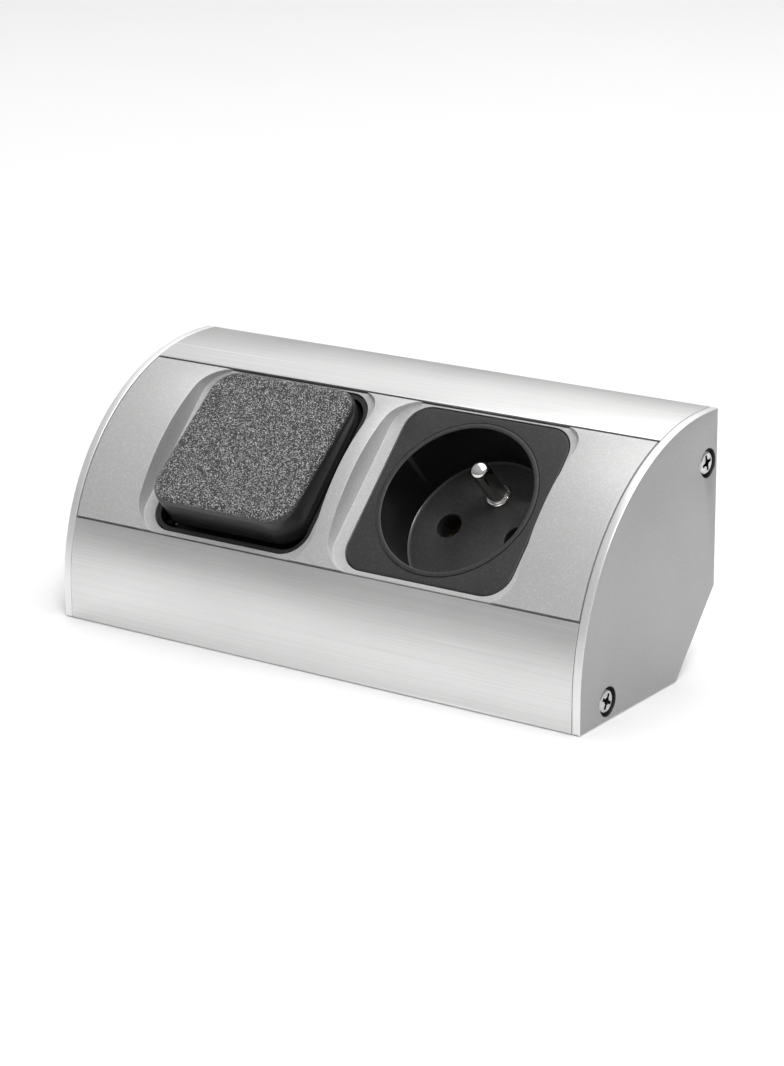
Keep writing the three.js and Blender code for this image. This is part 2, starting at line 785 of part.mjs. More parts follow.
function fitWires() {
  place(unit, "wire_live_feed", wire([
    ...outOfBlock("live"),
    [-67.5, -12, 11],
    [-64, -9, 18],
    [-56, 2, 22],
    onModule(-moduleX, -15, 0, switchClampWire),
    onModule(-moduleX, -8, 0, switchClampWire),
    onModule(-moduleX, -2, 0, switchClampWire),
  ]), "brownWire");
  place(unit, "wire_live_switched", wire([
    onModule(-moduleX, 2, -8, switchClampWire),
    onModule(-moduleX, 9, -8, switchClampWire),
    onModule(0, -12, -11, switchClampWire),
    onModule(0, 1, -21, socketClampWire - 3),
    ...intoSocket(-terminalU, -2.2),
  ]), "brownWire");
  place(unit, "wire_neutral", wire([
    ...outOfBlock("neutral"),
    [-60.5, -11.8, 6.8],
    [-56, -13, 6],
    [-46, -12.8, 4.6],
    [0, -12.6, 4.6],
    [34, -12.2, 4.8],
    ...intoSocket(terminalU, -2.2),
  ]), "blueWire");
  place(unit, "wire_earth", wire([
    ...outOfBlock("earth"),
    [-55.6, -10.2, 6.8],
    [-52, -10.6, 5.2],
    [-42, -9.6, 3.9],
    [0, -9.6, 3.9],
    [20, -9.4, 4.2],
    ...intoSocket(0, 5),
  ]), "greenWire");
}

// ---------------------------------------------------------------- the whole unit

place(unit, "body_extrusion", bodyExtrusion(), "anodised");
place(unit, "end_cap_left", endCap(-1), "capGrey");
place(unit, "end_cap_right", endCap(1), "capGrey");
place(unit, "cable_grommet", grommet(), "rubber");
fitCapScrews();

const panelGroup = slopeGroup(0);
place(panelGroup, "mid_panel", midPanel(), "panelGrey");
unit.add(panelGroup);

fitSocket();
fitSwitch();
fitTerminalBlock();
fitWires();

export default unit;
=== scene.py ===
import json
import math

import bmesh
import bpy
from mathutils import Matrix, Vector


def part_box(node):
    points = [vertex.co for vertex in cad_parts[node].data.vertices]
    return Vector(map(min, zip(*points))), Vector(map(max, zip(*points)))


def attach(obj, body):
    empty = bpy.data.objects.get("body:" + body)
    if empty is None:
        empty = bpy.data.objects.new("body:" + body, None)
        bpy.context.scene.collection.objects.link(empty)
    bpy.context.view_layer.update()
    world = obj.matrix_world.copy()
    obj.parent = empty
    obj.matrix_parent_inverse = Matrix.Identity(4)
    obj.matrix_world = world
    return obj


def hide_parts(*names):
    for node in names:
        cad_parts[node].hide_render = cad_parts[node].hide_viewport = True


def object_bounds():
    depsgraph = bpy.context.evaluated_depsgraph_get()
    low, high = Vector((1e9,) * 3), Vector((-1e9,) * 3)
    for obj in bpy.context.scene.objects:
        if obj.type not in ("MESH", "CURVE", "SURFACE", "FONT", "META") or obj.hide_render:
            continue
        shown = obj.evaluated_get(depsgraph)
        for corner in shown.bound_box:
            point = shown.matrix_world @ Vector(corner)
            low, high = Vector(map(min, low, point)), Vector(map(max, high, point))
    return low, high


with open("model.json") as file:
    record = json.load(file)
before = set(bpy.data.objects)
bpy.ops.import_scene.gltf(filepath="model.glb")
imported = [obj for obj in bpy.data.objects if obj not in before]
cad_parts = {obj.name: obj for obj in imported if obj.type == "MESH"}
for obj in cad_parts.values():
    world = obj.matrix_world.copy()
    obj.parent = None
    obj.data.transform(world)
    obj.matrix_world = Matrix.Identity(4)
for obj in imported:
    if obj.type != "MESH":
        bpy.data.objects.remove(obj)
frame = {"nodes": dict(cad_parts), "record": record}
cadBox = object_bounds()
scene = bpy.context.scene
mm = 0.001

# camera: the unit's right front, from a little above

cameraSetup = {
    "lens": 102.8,  # mm, on a 36 mm sensor along the picture's longer side
    "place": (0.4052, -0.5679, 0.2438),
    "turn": 35.27,  # degrees to the right of straight ahead
    "tip": 17.30,  # degrees down
    "roll": -0.52,
}


def makeCamera(setup):
    data = bpy.data.cameras.new("camera")
    data.lens = setup["lens"]
    data.sensor_width = 36
    data.clip_start = 0.05
    data.clip_end = 50
    camera = bpy.data.objects.new("camera", data)
    turn = Matrix.Rotation(math.radians(setup["turn"]), 4, "Z")
    tip = Matrix.Rotation(math.radians(90 - setup["tip"]), 4, "X")
    roll = Matrix.Rotation(math.radians(setup["roll"]), 4, "Z")
    camera.matrix_world = Matrix.Translation(setup["place"]) @ turn @ tip @ roll
    scene.collection.objects.link(camera)
    scene.camera = camera


makeCamera(cameraSetup)
print("camera placed")

# places: every mesh is drawn in millimetres and brought to metres at the end


def boxInMm(node):
    low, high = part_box(node)
    return low / mm, high / mm


bodyLow, bodyHigh = boxInMm("body_extrusion")
panelLow, panelHigh = boxInMm("mid_panel")

roundFront = {
    "radius": 54.5,
    "topFlat": 5,  # flat strip behind the round front
    "panelReach": 25.8,  # degrees of arc on each side of 45 that the panel covers
    "seam": 0.55,  # open joint along the panel's long edges
}
arcCentre = Vector((0, bodyHigh.y - roundFront["topFlat"], bodyHigh.z - roundFront["radius"]))
chordHeight = roundFront["radius"] * math.cos(math.radians(roundFront["panelReach"]))
chordHalf = roundFront["radius"] * math.sin(math.radians(roundFront["panelReach"]))
panelEdge = chordHalf - roundFront["seam"] / 2
bodyEdge = chordHalf + roundFront["seam"] / 2

modules = {"switch": -28.5, "socket": 28.5, "shift": 0.35}  # along the unit, and up the slope
landLevel = -0.6  # pocket floor, under the chord


# the panel's own axes: x along the unit, y up the slope, z out of it, from the chord's middle
def onSlope(x=0, y=0, z=0):
    tilt = Matrix.Rotation(math.radians(45), 4, "X")
    return Matrix.Translation(arcCentre) @ tilt @ Matrix.Translation((x, y, chordHeight + z))


# a cross-section's axes: x is the frame's Y, y its Z, and z runs along the unit
acrossUnit = Matrix(((0, 0, 1, 0), (1, 0, 0, 0), (0, 1, 0, 0), (0, 0, 0, 1)))


def arcLevel(y):
    return math.sqrt(roundFront["radius"] ** 2 - y * y) - chordHeight


# mesh helpers


def newVerts(made):
    return [part for part in made if isinstance(part, bmesh.types.BMVert)]


# the edges between these points, in an order that each run repeats
def edgesOf(verts):
    held = set(verts)
    near = dict.fromkeys(edge for vert in verts for edge in vert.link_edges)
    return [edge for edge in near if held.issuperset(edge.verts)]


# a flat outline from its corners, some of them rounded: rounds is {corner: (radius, steps)}
def outlineFace(bm, corners, rounds, level=0.0):
    before = set(bm.faces)
    verts = [bm.verts.new((x, y, level)) for x, y in corners]
    bm.faces.new(verts)
    for corner, (radius, steps) in rounds.items():
        bmesh.ops.bevel(
            bm, geom=[verts[corner]], offset=radius, offset_type="OFFSET", segments=steps,
            profile=0.5, affect="VERTICES", material=-1,
        )
    return next(face for face in bm.faces if face not in before)


def roundedFace(bm, centre, width, tall, radius, steps, level):
    x, y = centre
    half, up = width / 2, tall / 2
    corners = [(x - half, y - up), (x + half, y - up), (x + half, y + up), (x - half, y + up)]
    return outlineFace(bm, corners, {corner: (radius, steps) for corner in range(4)}, level)


def roundedBox(bm, width, tall, radius, low, high, steps):
    face = roundedFace(bm, (0, 0), width, tall, radius, steps, low)
    pull(bm, [face], high - low)


# extrudes flat faces along z into a solid
def pull(bm, faces, rise):
    made = bmesh.ops.extrude_face_region(bm, geom=faces)["geom"]
    bmesh.ops.translate(bm, verts=newVerts(made), vec=(0, 0, rise))


def circle(bm, centre, radius, steps, turn=Matrix.Identity(4)):
    place = Matrix.Translation(centre) @ turn
    made = bmesh.ops.create_circle(bm, cap_ends=False, segments=steps, radius=radius, matrix=place)
    return edgesOf(made["verts"])


# takes a flat face away and fills it again around the loops given
def openFace(bm, face, loops):
    border = list(face.edges)
    bmesh.ops.delete(bm, geom=[face], context="FACES_ONLY")
    held = [edge for loop in loops for edge in loop]
    bmesh.ops.triangle_fill(bm, edges=border + held, use_beauty=True, use_dissolve=False)


# draws a loop on through (radius, level) steps around a centre, levels measured along the axis
def sweep(bm, loop, centre, steps, axis=Vector((0, 0, 1))):
    centre = Vector(centre)
    for radius, level in steps:
        made = newVerts(bmesh.ops.extrude_edge_only(bm, edges=loop)["geom"])
        for vert in made:
            offset = vert.co - centre
            flat = offset - axis * offset.dot(axis)
            vert.co = centre + flat.normalized() * radius + axis * level
        loop = edgesOf(made)
    return loop


def sharpEdges(bm, degrees=30, keep=lambda edge: True):
    limit = math.radians(degrees)
    return [e for e in bm.edges if e.is_manifold and e.calc_face_angle(0) > limit and keep(e)]


def soften(bm, edges, offset, steps=3):
    bmesh.ops.bevel(
        bm, geom=edges, offset=offset, offset_type="OFFSET", segments=steps, profile=0.5,
        affect="EDGES", clamp_overlap=True, material=-1,
    )


def facing(bm, normal, level):
    wanted = Vector(normal)
    bm.normal_update()
    found = [
        face for face in bm.faces
        if face.normal.dot(wanted) > 0.999 and abs(face.calc_center_median().dot(wanted) - level) < 0.05
    ]
    return max(found, key=lambda face: face.calc_area())


# brings a drawn mesh to its place, in metres, and makes it a piece that rides on a body
def makePiece(name, bm, place, material, body, nodes, smooth=32):
    bmesh.ops.remove_doubles(bm, verts=bm.verts, dist=0.002)
    bmesh.ops.recalc_face_normals(bm, faces=bm.faces)
    bm.transform(Matrix.Scale(mm, 4) @ place)
    if place.determinant() < 0:
        bmesh.ops.recalc_face_normals(bm, faces=bm.faces)
    openEdges = sum(1 for e in bm.edges if not e.is_manifold)
    mesh = bpy.data.meshes.new(name)
    bm.to_mesh(mesh)
    bm.free()
    mesh.shade_smooth()
    mesh.set_sharp_from_angle(angle=math.radians(smooth))
    mesh.materials.append(material)
    piece = bpy.data.objects.new(name, mesh)
    scene.collection.objects.link(piece)
    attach(piece, body)
    if nodes:
        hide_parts(*nodes)
    print("made", name, len(mesh.polygons), "faces, open edges", openEdges)
    return piece


# holds a value at each vertex, found from its place in the axes it was drawn in, in millimetres
def vertexValue(piece, label, place, measure):
    values = piece.data.attributes.new(label, "FLOAT", "POINT")
    back = place.inverted()
    for number, vert in enumerate(piece.data.vertices):
        values.data[number].value = measure(back @ (vert.co / mm))


# node helpers


def addNode(tree, kind, values=None, **settings):
    node = tree.nodes.new(kind)
    for key, value in settings.items():
        setattr(node, key, value)
    for key, value in (values or {}).items():
        node.inputs[key].default_value = value
    return node


def newGroup(name, inputs, outputs):
    tree = bpy.data.node_groups.new(name, "ShaderNodeTree")
    for label, kind, value in inputs:
        socket = tree.interface.new_socket(name=label, in_out="INPUT", socket_type=kind)
        if value is not None:
            socket.default_value = value
    for label, kind in outputs:
        tree.interface.new_socket(name=label, in_out="OUTPUT", socket_type=kind)
    return tree, tree.nodes.new("NodeGroupInput"), tree.nodes.new("NodeGroupOutput")


# slow drift of tone: a value that wanders between Low and High
def makeDriftGroup():
    tree, into, out = newGroup(
        "toneDrift",
        [("Vector", "NodeSocketVector", None), ("Scale", "NodeSocketFloat", 20.0),
         ("Low", "NodeSocketFloat", 0.0), ("High", "NodeSocketFloat", 1.0)],
        [("Value", "NodeSocketFloat")],
    )
    noise = addNode(tree, "ShaderNodeTexNoise", {"Detail": 4.0, "Roughness": 0.55})
    spread = addNode(tree, "ShaderNodeMapRange", {"From Min": 0.3, "From Max": 0.7})
    tree.links.new(into.outputs["Vector"], noise.inputs["Vector"])
    tree.links.new(into.outputs["Scale"], noise.inputs["Scale"])
    tree.links.new(noise.outputs["Fac"], spread.inputs["Value"])
    tree.links.new(into.outputs["Low"], spread.inputs["To Min"])
    tree.links.new(into.outputs["High"], spread.inputs["To Max"])
    tree.links.new(spread.outputs["Result"], out.inputs["Value"])
    return tree


# lines drawn along one direction: Stretch is the scale on each axis
def makeDrawnGroup():
    tree, into, out = newGroup(
        "drawnLines",
        [("Vector", "NodeSocketVector", None), ("Stretch", "NodeSocketVector", (10.0, 900.0, 900.0))],
        [("Height", "NodeSocketFloat"), ("Scratch", "NodeSocketFloat")],
    )
    mapping = addNode(tree, "ShaderNodeMapping")
    lines = addNode(tree, "ShaderNodeTexNoise", {"Scale": 1.0, "Detail": 5.0, "Roughness": 0.7})
    rare = addNode(tree, "ShaderNodeTexNoise", {"Scale": 0.35, "Detail": 2.0, "Roughness": 0.5})
    pick = addNode(tree, "ShaderNodeMapRange", {"From Min": 0.68, "From Max": 0.76})
    tree.links.new(into.outputs["Vector"], mapping.inputs["Vector"])
    tree.links.new(into.outputs["Stretch"], mapping.inputs["Scale"])
    for texture in (lines, rare):
        tree.links.new(mapping.outputs["Vector"], texture.inputs["Vector"])
    tree.links.new(rare.outputs["Fac"], pick.inputs["Value"])
    tree.links.new(lines.outputs["Fac"], out.inputs["Height"])
    tree.links.new(pick.outputs["Result"], out.inputs["Scratch"])
    return tree


# fine grain of even size: Height for a bump and Fleck for the brightest grains
def makeGrainGroup():
    tree, into, out = newGroup(
        "evenGrain",
        [("Vector", "NodeSocketVector", None), ("Scale", "NodeSocketFloat", 2000.0),
         ("Rarity", "NodeSocketFloat", 0.6)],
        [("Height", "NodeSocketFloat"), ("Fleck", "NodeSocketFloat")],
    )
    noise = addNode(tree, "ShaderNodeTexNoise", {"Detail": 2.0, "Roughness": 0.6})
    cells = addNode(tree, "ShaderNodeTexVoronoi", {"Randomness": 1.0}, feature="F1")
    pick = addNode(tree, "ShaderNodeMapRange", {"From Max": 1.0})
    for texture in (noise, cells):
        tree.links.new(into.outputs["Vector"], texture.inputs["Vector"])
        tree.links.new(into.outputs["Scale"], texture.inputs["Scale"])
    split = addNode(tree, "ShaderNodeSeparateColor")
    mixed = addNode(tree, "ShaderNodeMath", operation="ADD")
    tree.links.new(cells.outputs["Color"], split.inputs["Color"])
    tree.links.new(split.outputs["Red"], pick.inputs["Value"])
    tree.links.new(into.outputs["Rarity"], pick.inputs["From Min"])
    tree.links.new(noise.outputs["Fac"], mixed.inputs[0])
    tree.links.new(cells.outputs["Distance"], mixed.inputs[1])
    tree.links.new(mixed.outputs["Value"], out.inputs["Height"])
    tree.links.new(pick.outputs["Result"], out.inputs["Fleck"])
    return tree


driftGroup = makeDriftGroup()
drawnGroup = makeDrawnGroup()
grainGroup = makeGrainGroup()


class Finish:
    # one material: its shader, and short ways to lay nodes into it
    def __init__(self, name, **shader):
        self.material = bpy.data.materials.new(name)
        self.material.use_nodes = True
        self.tree = self.material.node_tree
        self.shader = self.tree.nodes["Principled BSDF"]
        for label, value in shader.items():
            self.shader.inputs[label.replace("_", " ")].default_value = value
        self.place = addNode(self.tree, "ShaderNodeTexCoord").outputs["Object"]

    def link(self, source, target):
        self.tree.links.new(source, target)

    def group(self, tree, values):
        node = addNode(self.tree, "ShaderNodeGroup", node_tree=tree)
        for label, value in values.items():
            node.inputs[label].default_value = value
        self.link(self.place, node.inputs["Vector"])
        return node

    # low and high are each a colour or another node's output
    def blend(self, factor, low, high):
        mix = addNode(self.tree, "ShaderNodeMix", data_type="RGBA")
        for label, value in (("A", low), ("B", high)):
            if isinstance(value, tuple):
                mix.inputs[label].default_value = (*value, 1)
            else:
                self.link(value, mix.inputs[label])
        self.link(factor, mix.inputs["Factor"])
        return mix.outputs["Result"]

    def math(self, operation, first, second):
        node = addNode(self.tree, "ShaderNodeMath", operation=operation)
        self.link(first, node.inputs[0])
        if isinstance(second, float):
            node.inputs[1].default_value = second
        else:
            self.link(second, node.inputs[1])
        return node.outputs["Value"]

    def bump(self, height, strength, distance):
        node = addNode(self.tree, "ShaderNodeBump", {"Strength": strength, "Distance": distance})
        self.link(height, node.inputs["Height"])
        self.link(node.outputs["Normal"], self.shader.inputs["Normal"])
        return node

    def mark(self, name):
        node = addNode(self.tree, "ShaderNodeAttribute", attribute_name=name, attribute_type="GEOMETRY")
        return node.outputs["Fac"]

    def colour(self, socket):
        self.link(socket, self.shader.inputs["Base Color"])

    def roughness(self, socket):
        self.link(socket, self.shader.inputs["Roughness"])


def grey(value, warm=0.0):
    return (value * (1 + warm), value, value * (1 - warm))


def anodisedAluminium():
    finish = Finish("anodisedAluminium", Metallic=0.85)
    lines = finish.group(drawnGroup, {"Stretch": (14.0, 2600.0, 2600.0)})
    drift = finish.group(driftGroup, {"Scale": 26.0, "Low": 0.30, "High": 0.40})
    tone = finish.group(driftGroup, {"Scale": 9.0})
    colour = finish.blend(lines.outputs["Height"], grey(0.60, 0.004), grey(0.86, 0.004))
    colour = finish.blend(finish.math("MULTIPLY", tone.outputs["Value"], 0.2), colour, grey(0.72, 0.004))
    finish.colour(finish.blend(lines.outputs["Scratch"], colour, grey(0.9)))
    finish.roughness(drift.outputs["Value"])
    finish.bump(lines.outputs["Height"], 0.22, 0.00002)
    return finish.material


# the cap's face is blasted matt and painted darker, a painted shade, and its rim is left bright and painted
# lighter, a painted highlight
def capAluminium():
    finish = Finish("capAluminium", Metallic=0.75)
    rim = finish.mark("rim")
    bore = finish.mark("bore")
    fine = finish.group(grainGroup, {"Scale": 4200.0, "Rarity": 0.8})
    drift = finish.group(driftGroup, {"Scale": 40.0, "Low": 0.36, "High": 0.46})
    tone = finish.group(driftGroup, {"Scale": 14.0})
    colour = finish.blend(tone.outputs["Value"], grey(0.36), grey(0.39))
    colour = finish.blend(fine.outputs["Fleck"], colour, grey(0.42))
    # the rim is painted near white: a painted highlight on its turned edge
    colour = finish.blend(rim, colour, grey(0.86))
    # the screw bores are painted near black: painted shade in the holes
    finish.colour(finish.blend(bore, colour, grey(0.06)))
    finish.roughness(drift.outputs["Value"])
    finish.bump(fine.outputs["Height"], 0.12, 0.00003)
    return finish.material


def panelPlastic():
    finish = Finish("panelPlastic", Metallic=0.35, Specular_IOR_Level=0.5)
    flake = finish.group(grainGroup, {"Scale": 5200.0, "Rarity": 0.72})
    drift = finish.group(driftGroup, {"Scale": 30.0, "Low": 0.40, "High": 0.48})
    tone = finish.group(driftGroup, {"Scale": 12.0})
    colour = finish.blend(tone.outputs["Value"], grey(0.51, 0.003), grey(0.54, 0.003))
    finish.colour(finish.blend(flake.outputs["Fleck"], colour, grey(0.66)))
    finish.roughness(drift.outputs["Value"])
    finish.bump(flake.outputs["Height"], 0.12, 0.00003)
    return finish.material


# the insert is finely etched, but for the recess's side, which is polished and painted near black, a painted
# shade
def socketPlastic():
    finish = Finish("socketPlastic", Specular_IOR_Level=0.5)
    grain = finish.group(grainGroup, {"Scale": 2600.0, "Rarity": 0.7})
    drift = finish.group(driftGroup, {"Scale": 45.0, "Low": 0.42, "High": 0.55})
    etchedNotPaintedShade = finish.mark("etchedNotPaintedShade")
    colour = finish.blend(drift.outputs["Value"], grey(0.019), grey(0.028))
    colour = finish.blend(grain.outputs["Fleck"], colour, grey(0.038))
    # the recess's side is painted near black: painted shade in the deep recess
    finish.colour(finish.blend(etchedNotPaintedShade, grey(0.004), colour))
    polished = finish.math("SUBTRACT", drift.outputs["Value"], 0.3)
    spread = addNode(finish.tree, "ShaderNodeMix", data_type="FLOAT")
    finish.link(etchedNotPaintedShade, spread.inputs["Factor"])
    finish.link(polished, spread.inputs["A"])
    finish.link(drift.outputs["Value"], spread.inputs["B"])
    finish.roughness(spread.outputs["Result"])
    height = finish.math("MULTIPLY", grain.outputs["Height"], etchedNotPaintedShade)
    finish.bump(height, 0.3, 0.00005)
    return finish.material


# the rocker's face is coarsely grained, and its sides are smooth
def rockerPlastic():
    finish = Finish("rockerPlastic", Specular_IOR_Level=0.5)
    grain = finish.group(grainGroup, {"Scale": 5000.0, "Rarity": 0.66})
    drift = finish.group(driftGroup, {"Scale": 60.0, "Low": 0.20, "High": 0.28})
    onFace = finish.mark("onFace")
    fleck = finish.math("MULTIPLY", grain.outputs["Fleck"], onFace)
    colour = finish.blend(drift.outputs["Value"], grey(0.012), grey(0.018))
    colour = finish.blend(onFace, colour, grey(0.022))
    finish.colour(finish.blend(fleck, colour, grey(0.76)))
    finish.roughness(finish.math("ADD", drift.outputs["Value"], finish.math("MULTIPLY", onFace, 0.13)))
    height = finish.math("MULTIPLY", grain.outputs["Height"], onFace)
    finish.bump(height, 1.0, 0.0002)
    return finish.material


def housingPlastic():
    finish = Finish("housingPlastic", Specular_IOR_Level=0.5)
    grain = finish.group(grainGroup, {"Scale": 3000.0, "Rarity": 0.8})
    drift = finish.group(driftGroup, {"Scale": 60.0, "Low": 0.38, "High": 0.52})
    colour = finish.blend(drift.outputs["Value"], grey(0.012), grey(0.020))
    finish.colour(finish.blend(grain.outputs["Fleck"], colour, grey(0.03)))
    finish.roughness(drift.outputs["Value"])
    finish.bump(grain.outputs["Height"], 0.2, 0.00003)
    return finish.material


def brightMetal(name, low, high, rough, tint=(1, 1, 1)):
    finish = Finish(name, Metallic=1.0)
    lines = finish.group(drawnGroup, {"Stretch": (1500.0, 1500.0, 220.0)})
    drift = finish.group(driftGroup, {"Scale": 300.0, "Low": rough, "High": rough * 1.6})
    tone = finish.group(driftGroup, {"Scale": 160.0})
    colour = finish.blend(
        tone.outputs["Value"],
        tuple(low * part for part in tint),
        tuple(high * part for part in tint),
    )
    bright = min(1, high * 1.1)
    scratched = tuple(bright * part for part in tint)
    finish.colour(finish.blend(lines.outputs["Scratch"], colour, scratched))
    finish.roughness(drift.outputs["Value"])
    finish.bump(lines.outputs["Height"], 0.1, 0.00001)
    return finish.material


# the screws' heads: the cross recess is painted near black, a painted shade
def screwMetal():
    finish = Finish("screwMetal", Metallic=1.0)
    lines = finish.group(drawnGroup, {"Stretch": (1500.0, 1500.0, 220.0)})
    drift = finish.group(driftGroup, {"Scale": 300.0, "Low": 0.12, "High": 0.22})
    tone = finish.group(driftGroup, {"Scale": 900.0})
    colour = finish.blend(tone.outputs["Value"], grey(0.42), grey(0.66))
    # the cross recess is painted near black: painted shade
    finish.colour(finish.blend(finish.mark("recessPaintedShade"), colour, grey(0.02)))
    finish.roughness(drift.outputs["Value"])
    finish.bump(lines.outputs["Height"], 0.3, 0.00003)
    return finish.material


def plainMoulding(name, low, high, rough, scale=2600.0):
    finish = Finish(name, Specular_IOR_Level=0.5)
    grain = finish.group(grainGroup, {"Scale": scale, "Rarity": 0.85})
    drift = finish.group(driftGroup, {"Scale": 90.0, "Low": rough, "High": rough + 0.12})
    tone = finish.group(driftGroup, {"Scale": 120.0})
    finish.colour(finish.blend(tone.outputs["Value"], low, high))
    finish.roughness(drift.outputs["Value"])
    finish.bump(grain.outputs["Height"], 0.2, 0.00003)
    return finish.material


# the earth wire has a yellow stripe that winds along it
def stripedWire():
    finish = Finish("wireGreenYellow", Specular_IOR_Level=0.5)
    wave = addNode(
        finish.tree, "ShaderNodeTexWave", {"Scale": 45.0, "Distortion": 0.6},
        bands_direction="DIAGONAL",
    )
    finish.link(finish.place, wave.inputs["Vector"])
    edge = addNode(finish.tree, "ShaderNodeMapRange", {"From Min": 0.46, "From Max": 0.54})
    finish.link(wave.outputs["Fac"], edge.inputs["Value"])
    finish.colour(finish.blend(edge.outputs["Result"], (0.03, 0.20, 0.04), (0.72, 0.60, 0.04)))
    drift = finish.group(driftGroup, {"Scale": 150.0, "Low": 0.4, "High": 0.5})
    finish.roughness(drift.outputs["Value"])
    return finish.material


looks = {
    "anodised_aluminium": anodisedAluminium(),
    "cap_aluminium": capAluminium(),
    "panel_plastic": panelPlastic(),
    "socket_plastic": socketPlastic(),
    "rocker_plastic": rockerPlastic(),
    "housing_plastic": housingPlastic(),
    "nickel": brightMetal("nickel", 0.72, 0.86, 0.12, (1.0, 0.985, 0.96)),
    "screw": screwMetal(),
    "steel": brightMetal("steel", 0.48, 0.60, 0.26),
    "brass": brightMetal("brass", 0.80, 0.95, 0.22, (0.92, 0.68, 0.32)),
    "rubber": plainMoulding("rubber", grey(0.010), grey(0.018), 0.6, 3200.0),
    "nylon": plainMoulding("nylon", (0.74, 0.71, 0.62), (0.80, 0.77, 0.69), 0.42),
    "wire_brown": plainMoulding("wireBrown", (0.085, 0.030, 0.012), (0.11, 0.042, 0.018), 0.4),
    "wire_blue": plainMoulding("wireBlue", (0.012, 0.065, 0.30), (0.018, 0.085, 0.36), 0.4),
    "wire_green_yellow": stripedWire(),
}
print("materials made:", len(looks))

# body: an extruded shell, open along its round front

bodySetup = {
    "wall": 2.0,
    "chamferRun": 17.0,
    "chamferRise": 19.0,
    "arcSteps": 90,
    "edge": 0.10,  # softening of its edges
    "openingDepth": 9.0,
    "inletX": -62.0,
    "inletRadius": 7.1,
    "fixingX": 45.0,
    "fixingHeight": 38.0,
    "fixingRadius": 2.25,
    "hookTop": -2.9,  # hook under each seam: out of the chord
    "hookLip": -3.7,  # its edge under the panel
    "hookBottom": -5.2,
    "hookOuter": 3.4,  # from the seam, away from the panel
    "hookInner": 1.9,  # from the seam, under the panel
    "hookFlat": 0.1,  # from the seam, where its top starts to slope
    "hookShort": 0.3,  # gap to each end cap
}


def sectionCorners(low, high):
    return [
        (low.y, low.z),
        (high.y - bodySetup["chamferRun"], low.z),
        (high.y, low.z + bodySetup["chamferRise"]),
        (high.y, high.z),
        (low.y, high.z),
    ]


def sectionFace(bm, level):
    rounds = {4: (roundFront["radius"], bodySetup["arcSteps"])}
    return outlineFace(bm, sectionCorners(bodyLow, bodyHigh), rounds, level)


# how far up the slope, and out of the chord, a point of the cross-section lies
def slopeOf(point):
    y, z = point.x - arcCentre.y, point.y - arcCentre.z
    return (y + z) / math.sqrt(2), (z - y) / math.sqrt(2) - chordHeight


def bodyShell(setup):
    bm = bmesh.new()
    low, high = bodyLow.x, bodyHigh.x
    face = sectionFace(bm, low)
    bmesh.ops.inset_individual(bm, faces=[face], thickness=setup["wall"], use_even_offset=True)
    bmesh.ops.delete(bm, geom=[face], context="FACES")
    upSlope = Vector((1, 1, 0)).normalized()
    for side in (-1, 1):
        near = [f for f in bm.faces if slopeOf(f.calc_center_median())[1] > -setup["openingDepth"]]
        edges = dict.fromkeys(e for f in near for e in f.edges)
        verts = dict.fromkeys(v for f in near for v in f.verts)
        parts = [*near, *edges, *verts]
        point = Vector((arcCentre.y, arcCentre.z, low)) + upSlope * side * bodyEdge
        bmesh.ops.bisect_plane(bm, geom=parts, plane_co=point, plane_no=upSlope, dist=0.0001)
    gone = []
    for f in bm.faces:
        up, out = slopeOf(f.calc_center_median())
        if abs(up) < bodyEdge and out > -setup["openingDepth"]:
            gone.append(f)
    bmesh.ops.delete(bm, geom=gone, context="FACES")
    pull(bm, list(bm.faces), high - low)
    bmesh.ops.recalc_face_normals(bm, faces=bm.faces)
    soften(bm, sharpEdges(bm, 35), setup["edge"], 3)
    punchBody(bm, setup)
    addHooks(bm, setup, low, high)
    makePiece(
        "bodyShell", bm, acrossUnit, looks["anodised_aluminium"], "housing",
        ["body_extrusion"],
    )


# the cable inlet in the corner cut, and two fixing holes through the back
def punchBody(bm, setup):
    outward = Vector((setup["chamferRise"], -setup["chamferRun"], 0)).normalized()
    inlet = Vector((bodyHigh.y - setup["chamferRun"] / 2, setup["chamferRise"] / 2, setup["inletX"]))
    fixings = [Vector((bodyHigh.y, setup["fixingHeight"], side * setup["fixingX"])) for side in (-1, 1)]
    jobs = [(outward, [inlet], setup["inletRadius"]), (Vector((1, 0, 0)), fixings, setup["fixingRadius"])]
    for normal, centres, radius in jobs:
        turn = normal.to_track_quat("Z", "Y").to_matrix().to_4x4()
        level = centres[0].dot(normal)
        outer = facing(bm, normal, level)
        inner = facing(bm, -normal, setup["wall"] - level)
        outerLoops = [circle(bm, centre, radius, 48, turn) for centre in centres]
        innerLoops = [circle(bm, centre - normal * setup["wall"], radius, 48, turn) for centre in centres]
        openFace(bm, outer, outerLoops)
        openFace(bm, inner, innerLoops)
        for first, second in zip(outerLoops, innerLoops):
            bmesh.ops.bridge_loops(bm, edges=first + second)


# a hook under each seam, which closes the seam below
def addHooks(bm, setup, low, high):
    for side in (-1, 1):
        corners = [
            (side * (bodyEdge + setup["hookOuter"]), setup["hookTop"]),
            (side * (bodyEdge + setup["hookFlat"]), setup["hookTop"]),
            (side * (bodyEdge - setup["hookInner"]), setup["hookLip"]),
            (side * (bodyEdge - setup["hookInner"]), setup["hookBottom"]),
            (side * (bodyEdge + setup["hookOuter"]), setup["hookBottom"]),
        ]
        drawn = []
        for up, out in corners:
            y = arcCentre.y + (up - out - chordHeight) / math.sqrt(2)
            z = arcCentre.z + (up + out + chordHeight) / math.sqrt(2)
            drawn.append((y, z))
        face = outlineFace(bm, drawn, {}, low + setup["hookShort"])
        pull(bm, [face], high - low - 2 * setup["hookShort"])


bodyShell(bodySetup)

# end caps

